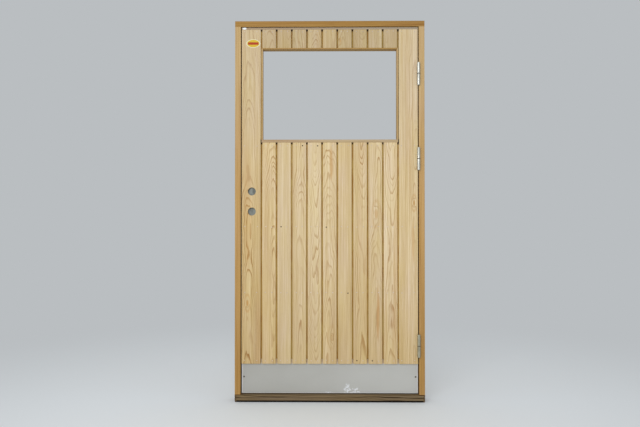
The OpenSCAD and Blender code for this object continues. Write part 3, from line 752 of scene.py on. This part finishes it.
nail_tree = bpy.data.node_groups.new("nail_heads", "GeometryNodeTree")
nail_tree.interface.new_socket("Geometry", in_out="OUTPUT", socket_type="NodeSocketGeometry")
nail_tree.interface.new_socket("Geometry", in_out="INPUT", socket_type="NodeSocketGeometry")
nail_sizes = {
    "Head Radius": NAIL_HEAD_R, "Head Rise": NAIL_HEAD_RISE,
    "Jitter": NAIL_JITTER, "Rust Swell": RUST_SWELL,
}
nail_sockets = {
    name: nail_tree.interface.new_socket(name, in_out="INPUT", socket_type="NodeSocketFloat")
    for name in nail_sizes
}
nail_given = nail_tree.nodes.new("NodeGroupInput").outputs
nail_out = nail_tree.nodes.new("NodeGroupOutput").inputs
spread_low, spread_high = [
    place(nail_tree, "ShaderNodeVectorMath", {0: corner, "Scale": nail_given["Jitter"]}, operation="SCALE")
    for corner in ((-1, 0, -1), (1, 0, 1))
]
nudge = place(
    nail_tree, "FunctionNodeRandomValue",
    {0: spread_low.outputs[0], 1: spread_high.outputs[0], "Seed": JITTER_SEED}, data_type="FLOAT_VECTOR",
)
moved_points = place(
    nail_tree, "GeometryNodeSetPosition", {"Geometry": nail_given["Geometry"], "Offset": nudge.outputs[0]}
)
points = place(nail_tree, "GeometryNodeMeshToPoints", {"Mesh": moved_points.outputs[0]})
chance = place(nail_tree, "FunctionNodeRandomValue", {"Seed": DULL_SEED}, data_type="FLOAT")
dulled = place(
    nail_tree, "GeometryNodeStoreNamedAttribute",
    {"Geometry": points.outputs[0], "Name": "dullness", "Value": chance.outputs[1]},
    data_type="FLOAT", domain="POINT",
)
head = place(nail_tree, "GeometryNodeMeshUVSphere", {"Segments": 12, "Rings": 6, "Radius": 1.0})
head_size = place(
    nail_tree, "ShaderNodeCombineXYZ",
    {0: nail_given["Head Radius"], 1: nail_given["Head Rise"], 2: nail_given["Head Radius"]},
)
rust_and_shade_given = place(nail_tree, "GeometryNodeInputNamedAttribute", {"Name": "rust_and_shade"}, data_type="FLOAT")
swollen = calc(nail_tree, "MULTIPLY_ADD", rust_and_shade_given.outputs[0], nail_given["Rust Swell"], 1.0)
swollen_size = place(
    nail_tree, "ShaderNodeVectorMath", {0: head_size.outputs[0], "Scale": swollen}, operation="SCALE"
)
heads = place(
    nail_tree, "GeometryNodeInstanceOnPoints",
    {"Points": dulled.outputs[0], "Instance": head.outputs[0], "Scale": swollen_size.outputs[0]},
)
solid_heads = place(nail_tree, "GeometryNodeRealizeInstances", {"Geometry": heads.outputs[0]})
steel_heads = place(
    nail_tree, "GeometryNodeSetMaterial", {"Geometry": solid_heads.outputs[0], "Material": nail_steel}
)
nail_tree.links.new(steel_heads.outputs[0], nail_out["Geometry"])

nail_modifier = nails_source.modifiers.new("nail_heads", "NODES")
nail_modifier.node_group = nail_tree
for name, size in nail_sizes.items():
    nail_modifier[nail_sockets[name].identifier] = size
evaluated = nails_source.evaluated_get(bpy.context.evaluated_depsgraph_get())
nails = bpy.data.objects.new("board_nails", bpy.data.meshes.new_from_object(evaluated))
bpy.data.objects.remove(nails_source)
bpy.context.scene.collection.objects.link(nails)
for polygon in nails.data.polygons:
    polygon.use_smooth = True
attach(nails, "leaf")

# Window linings
# Thin pine boards round the empty window opening, mitred at the upper corners, with a
# thicker sill lining that stands a little proud of the boards.

# The head lining is darker than the others, partly as painted shade under the boards' ends
LINING_HEAD_SHADED_COLOURS = ((166, 130, 71), (138, 100, 46), (144, 102, 46))
LINING_SIDE_COLOURS = ((186, 156, 108), (158, 124, 76), (164, 126, 76))
LINING_SILL_COLOURS = ((183, 160, 126), (155, 124, 86), (162, 126, 84))
LINING_PIECES = {
    "window_lining_head": (LEVEL, LINING_HEAD_SHADED_COLOURS),
    "window_lining_lock_side": (UPRIGHT, LINING_SIDE_COLOURS),
    "window_lining_hinge_side": (UPRIGHT, LINING_SIDE_COLOURS),
    "window_sill_lining": (LEVEL, LINING_SILL_COLOURS),
}
for number, (node, (turn, colours)) in enumerate(LINING_PIECES.items()):
    lining_pine = timber(
        node + "_pine", node, colours, turn,
        pith_across=0.04, pith_depth=0.06, lean=0.01, wander=0.01,
        ring_width=0.0035, contrast=0.6, heartwood=0.4, seed=71.9 + 3.3 * number,
    )
    finish_node(node, lining_pine)

# Sheet metal
# A cap folded over the leaf's top edge and a kick plate along its foot, held by two screws,
# both of thin grey coated sheet, painted paler towards the hinge side as painted light. The cap's
# brown-grey is partly painted shade under the frame's head and painted reflection of the wood.
# The kick plate has pale edges, is scuffed near its foot, and has painted light where it shows
# in the boards' grooves.

SHEET_GREY = (168, 167, 161)
SHEET_PALE_AND_LIT = (190, 190, 186)
# The cap's brown is partly painted shade under the frame's head and painted reflection of the wood
CAP_BROWN_AND_SHADE = (140, 116, 86)
CAP_PALE_AND_LIT = (152, 137, 116)
CAP_PATCH_WHITE = (214, 217, 219)
SCUFF_AND_EDGE_PALE = (218, 220, 223)
# Painted light: warm light on the kick plate where it shows in the boards' grooves
SLOT_PAINTED_LIGHT = (214, 190, 158)
TARNISHED_PLATING = ((104, 100, 92), (74, 70, 62))
SPECKS = (500.0, 500.0)
SPECK_ROUGHNESS = 0.15
SHEET_ROUGHNESS = 0.38
CLOUDS = (5.0, 9.0, 3.0)
CLOUD_SHARE = 0.5
# Painted light: the sheets grow paler from the first of these places to the second, towards the hinges
LIT_SIDE = (-0.35, 0.45)
LIT_SIDE_SHARE = 0.75
LIT_SIDE_LEAST = -0.1
SPOT_FADE = (0.1, 1.0)
# Middle and reach, sideways and upwards, of the cap's white end patch and of each scuffed patch
CAP_WHITE_PATCH = ((-0.446, 1.9515), (0.013, 0.009))
SCUFF_SPOTS = (
    ((0.0935, 0.070), (0.026, 0.036)), ((0.138, 0.060), (0.030, 0.024)),
    ((-0.006, 0.046), (0.034, 0.010)), ((0.120, 0.046), (0.070, 0.012)),
)
# Distances from the kick plate's sides and foot over which its pale edges fade
SIDE_PALING = (0.004, 0.008)
FOOT_PALING = (0.002, 0.005)
EDGE_PALING_SHARE = 0.5
SCUFFS = (120.0, 135.0, 3.0)
SCUFF_GAIN = 0.2
SCUFFS_FROM = (0.64, 0.76)
SCUFF_FADE = (0.0, 0.35)
SLOT_FADE = 0.0015


def near_spot(tree, x, z, middle, reach):
    """A mask that fades out from the middle of a patch to its reach."""
    off_x, off_z = off_middle(tree, x, z, middle, reach)
    return soft_fall(tree, squares(tree, off_x, off_z), *SPOT_FADE)


def sheet_metal(name, dark, pale, surface_marks):
    """A coated sheet with a clouded tone, paler towards one side as painted light, and its own marks over
    that.
    """
    material, tree, shader = new_material(name)
    where = place(tree, "ShaderNodeTexCoord").outputs["Object"]
    speck = stretched_noise(tree, where, *SPECKS)
    rough = calc(tree, "MULTIPLY_ADD", speck, SPECK_ROUGHNESS, SHEET_ROUGHNESS)
    tree.links.new(rough, shader["Roughness"])
    shader["Metallic"].default_value = 0.2
    x = split(tree, where)[0]
    lit_sideways = calc(tree, "MULTIPLY_ADD", soft_step(tree, x, *LIT_SIDE), LIT_SIDE_SHARE, LIT_SIDE_LEAST)
    tone = calc(tree, "MULTIPLY_ADD", stretched_noise(tree, where, *CLOUDS), CLOUD_SHARE, lit_sideways)
    colour = tint(tree, tone, linear(dark), linear(pale))
    tree.links.new(surface_marks(tree, colour, where), shader["Base Color"])
    return material


def white_patched_cap(tree, colour, where):
    """A near-white patch on the cap's end at the lock side."""
    x, _, z = split(tree, where)
    return tint(tree, near_spot(tree, x, z, *CAP_WHITE_PATCH), colour, linear(CAP_PATCH_WHITE))


def scuffed_plate(tree, colour, where):
    """Pale edges and torn scuffs, and painted warm light where the plate shows in the boards' grooves."""
    low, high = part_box("kick_plate")
    x, _, z = split(tree, where)
    from_side = calc(tree, "SUBTRACT", high.x, calc(tree, "ABSOLUTE", x))
    from_foot = calc(tree, "SUBTRACT", z, low.z)
    edges = [soft_fall(tree, from_side, *SIDE_PALING), soft_fall(tree, from_foot, *FOOT_PALING)]
    pale_edges = calc(tree, "MULTIPLY", calc(tree, "MAXIMUM", *edges), EDGE_PALING_SHARE)
    rubbed = 0.0
    for middle, reach in SCUFF_SPOTS:
        rubbed = calc(tree, "MAXIMUM", rubbed, near_spot(tree, x, z, middle, reach))
    torn = calc(tree, "MULTIPLY_ADD", rubbed, SCUFF_GAIN, stretched_noise(tree, where, *SCUFFS))
    scuff = soft_step(tree, torn, *SCUFFS_FROM)
    scuff = calc(tree, "MULTIPLY", scuff, soft_step(tree, rubbed, *SCUFF_FADE))
    colour = tint(tree, calc(tree, "MAXIMUM", pale_edges, scuff), colour, linear(SCUFF_AND_EDGE_PALE))
    # Painted light on the plate behind the boards' lower ends
    in_slots = soft_step(tree, z, board_low.z - SLOT_FADE, board_low.z)
    return tint(tree, in_slots, colour, linear(SLOT_PAINTED_LIGHT))


finish_node("top_cap", sheet_metal("cap_sheet", CAP_BROWN_AND_SHADE, CAP_PALE_AND_LIT, white_patched_cap))
finish_node("kick_plate", sheet_metal("kick_sheet", SHEET_GREY, SHEET_PALE_AND_LIT, scuffed_plate))
finish_node("kick_plate_screws", plated_steel("kick_screw_steel", TARNISHED_PLATING, roughness=0.4))

# Label
# A small oval paper label, stuck flat on the lock-side board, with a cream rim, a yellow field
# and a plain red band.

LABEL_MIDDLE = (-0.400, 1.873)
LABEL_HALF = (0.037, 0.0225)
LABEL_T = 0.0003
LABEL_STEPS = 64
LABEL_RIM = (220, 213, 182)
LABEL_YELLOW = (208, 178, 52)
LABEL_RED = (172, 62, 34)
# The label's edge from the board outwards: how far it is set in, and how high it stands
LABEL_EDGE = ((0.0, 0.0), (0.0, 0.6 * LABEL_T), (0.0006, LABEL_T))
# Shares of the half sizes at which the field and the band end
FIELD_END = (0.84, 0.88)
BAND_END_ACROSS = (0.73, 0.76)
BAND_END_UP = (0.26, 0.30)

label_mesh = bmesh.new()
rings = []
for inset, rise in LABEL_EDGE:
    ring = []
    for step in range(LABEL_STEPS):
        angle = 2 * math.pi * step / LABEL_STEPS
        x = LABEL_MIDDLE[0] + (LABEL_HALF[0] - inset) * math.cos(angle)
        z = LABEL_MIDDLE[1] + (LABEL_HALF[1] - inset) * math.sin(angle)
        ring.append(label_mesh.verts.new((x, BOARD_FRONT - rise, z)))
    rings.append(ring)
for inner, outer in zip(rings[1:], rings[:-1]):
    for step in range(LABEL_STEPS):
        after = (step + 1) % LABEL_STEPS
        label_mesh.faces.new((outer[step], outer[after], inner[after], inner[step]))
label_mesh.faces.new(rings[-1])
label_mesh.faces.new(rings[0])
bmesh.ops.recalc_face_normals(label_mesh, faces=label_mesh.faces)
label_data = bpy.data.meshes.new("oval_label")
label_mesh.to_mesh(label_data)
label_mesh.free()
label = bpy.data.objects.new("oval_label", label_data)
bpy.context.scene.collection.objects.link(label)


def printed_oval(tree, where):
    """The cream rim, the yellow field inside it and the red band across that."""
    x, _, z = split(tree, where)
    off_x, off_z = off_middle(tree, x, z, LABEL_MIDDLE, LABEL_HALF)
    field = soft_fall(tree, calc(tree, "SQRT", squares(tree, off_x, off_z)), *FIELD_END)
    band = soft_fall(tree, calc(tree, "ABSOLUTE", off_x), *BAND_END_ACROSS)
    band = calc(tree, "MULTIPLY", band, soft_fall(tree, calc(tree, "ABSOLUTE", off_z), *BAND_END_UP))
    colour = tint(tree, field, linear(LABEL_RIM), linear(LABEL_YELLOW))
    return tint(tree, band, colour, linear(LABEL_RED))


label_paper, paper_tree, paper_shader = new_material("label_paper")
paper_place = place(paper_tree, "ShaderNodeTexCoord").outputs["Object"]
paper_tree.links.new(printed_oval(paper_tree, paper_place), paper_shader["Base Color"])
paper_shader["Roughness"].default_value = 0.6
paper_shader["Specular IOR Level"].default_value = 0.2
label_data.materials.append(label_paper)
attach(label, "leaf")

# Stage
# A pale floor that fades into the pale background, a broad soft light above the front, and
# a camera where the photograph was taken from.

BACKGROUND = (186, 190, 193)
FLOOR = (236, 242, 246)
FLOOR_REACH = 9.0
FLOOR_FADE = (0.9, 3.2)
SKY_STRENGTH = 0.6
KEY_PLACE = (-0.9, -4.6, 2.3)
KEY_AIM = (0.0, 0.0, 0.95)
KEY_SIZE = (3.0, 2.2)
KEY_POWER = 106
CAMERA_PLACE = (-0.0096, -3.6962, 0.9422)
CAMERA_YAW = math.radians(0.643)
CAMERA_PITCH = math.radians(0.637)
CAMERA_LENS = 39.375
SENSOR_WIDTH = 36.0


def seen_rays(tree):
    """1 for rays that look at the stage, straight or in a reflection, and 0 for those that light it."""
    path = place(tree, "ShaderNodeLightPath").outputs
    seen = calc(tree, "MAXIMUM", path["Is Camera Ray"], path["Is Glossy Ray"])
    return calc(tree, "MAXIMUM", seen, path["Is Transmission Ray"])


floor_data = bpy.data.meshes.new("studio_floor")
floor_data.from_pydata(
    [(sx * FLOOR_REACH, sy * FLOOR_REACH, 0) for sx, sy in ((-1, -1), (1, -1), (1, 1), (-1, 1))],
    [], [(0, 1, 2, 3)],
)
floor = bpy.data.objects.new("studio_floor", floor_data)
bpy.context.scene.collection.objects.link(floor)
floor_paint, floor_tree, floor_shader = new_material("floor_paint")
floor_place = place(floor_tree, "ShaderNodeTexCoord").outputs["Object"]
floor_far = place(floor_tree, "ShaderNodeVectorMath", {0: floor_place}, operation="LENGTH")
floor_fade = soft_step(floor_tree, floor_far.outputs["Value"], *FLOOR_FADE)
floor_share = calc(floor_tree, "MULTIPLY", floor_fade, seen_rays(floor_tree))
floor_shader["Base Color"].default_value = linear(FLOOR)
floor_shader["Roughness"].default_value = 0.7
floor_matt = floor_tree.nodes["Principled BSDF"].outputs[0]
floor_glow = place(floor_tree, "ShaderNodeEmission", {"Color": linear(BACKGROUND), "Strength": 1.0})
floor_mix = place(
    floor_tree, "ShaderNodeMixShader", {0: floor_share, 1: floor_matt, 2: floor_glow.outputs[0]}
)
floor_tree.links.new(floor_mix.outputs[0], floor_tree.nodes["Material Output"].inputs["Surface"])
floor_data.materials.append(floor_paint)

world = bpy.data.worlds.new("studio")
bpy.context.scene.world = world
world.use_nodes = True
sky_tree = world.node_tree
sky_tree.nodes.clear()
sky_light = place(sky_tree, "ShaderNodeBackground", {"Color": (1, 1, 1, 1), "Strength": SKY_STRENGTH})
sky_seen = place(sky_tree, "ShaderNodeBackground", {"Color": linear(BACKGROUND), "Strength": 1.0})
sky_mix = place(
    sky_tree, "ShaderNodeMixShader",
    {0: seen_rays(sky_tree), 1: sky_light.outputs[0], 2: sky_seen.outputs[0]},
)
place(sky_tree, "ShaderNodeOutputWorld", {"Surface": sky_mix.outputs[0]})

key_data = bpy.data.lights.new("key_light", "AREA")
key_data.shape = "RECTANGLE"
key_data.size, key_data.size_y = KEY_SIZE
key_data.energy = KEY_POWER
key = bpy.data.objects.new("key_light", key_data)
bpy.context.scene.collection.objects.link(key)
key.location = KEY_PLACE
key.rotation_euler = (Vector(KEY_AIM) - Vector(KEY_PLACE)).to_track_quat("-Z", "Y").to_euler()

right = Vector((math.cos(CAMERA_YAW), math.sin(CAMERA_YAW), 0))
forward = Vector((
    -math.sin(CAMERA_YAW) * math.cos(CAMERA_PITCH),
    math.cos(CAMERA_YAW) * math.cos(CAMERA_PITCH),
    math.sin(CAMERA_PITCH),
))
up = right.cross(forward)
camera_data = bpy.data.cameras.new("camera")
camera_data.lens = CAMERA_LENS
camera_data.sensor_width = SENSOR_WIDTH
camera_data.sensor_fit = "HORIZONTAL"
camera = bpy.data.objects.new("camera", camera_data)
bpy.context.scene.collection.objects.link(camera)
axes = Matrix((right, up, -forward)).transposed().to_4x4()
camera.matrix_world = Matrix.Translation(CAMERA_PLACE) @ axes
bpy.context.scene.camera = camera
bpy.context.scene.view_settings.view_transform = "Standard"
